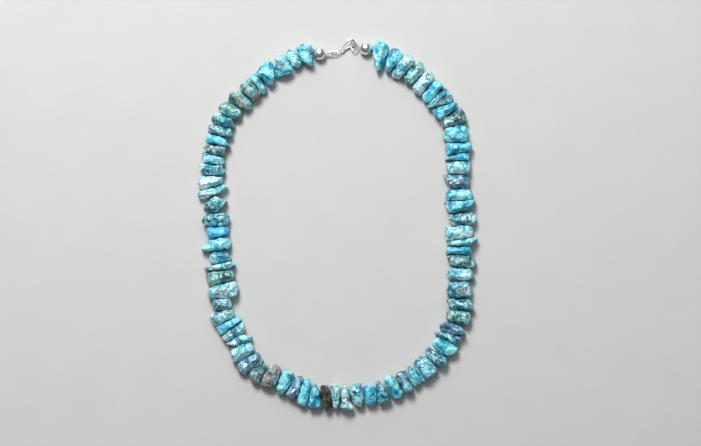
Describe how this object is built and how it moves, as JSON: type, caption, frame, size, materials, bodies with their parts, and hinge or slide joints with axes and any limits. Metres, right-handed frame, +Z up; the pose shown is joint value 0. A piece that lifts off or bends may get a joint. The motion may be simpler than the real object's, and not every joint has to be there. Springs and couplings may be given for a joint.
{
  "type": "necklace",
  "caption": "Turquoise nugget necklace: a fastened loop of drilled, tumbled stones with round silver end beads and a wire hook closed through an oval ring.",
  "frame": {"origin": "on the surface that the necklace lies on, below the middle of the whole loop", "axes": "+Z up, +Y along the loop's long way towards the clasp, +X to the wearer's side on which the oval ring sits"},
  "size_m": [0.1384, 0.1866, 0.0091],
  "materials": {
    "turquoise": "tumbled and polished, with brown and grey matrix",
    "silver": "polished sterling silver, slightly worn"
  },
  "bodies": {
    "root": {"nugget_string_left": "turquoise", "nugget_string_right": "turquoise", "silver_bead_left": "silver", "silver_bead_right": "silver", "clasp_hook": "silver", "clasp_ring": "silver", "clasp_tag": "silver"}
  },
  "joints": []
}
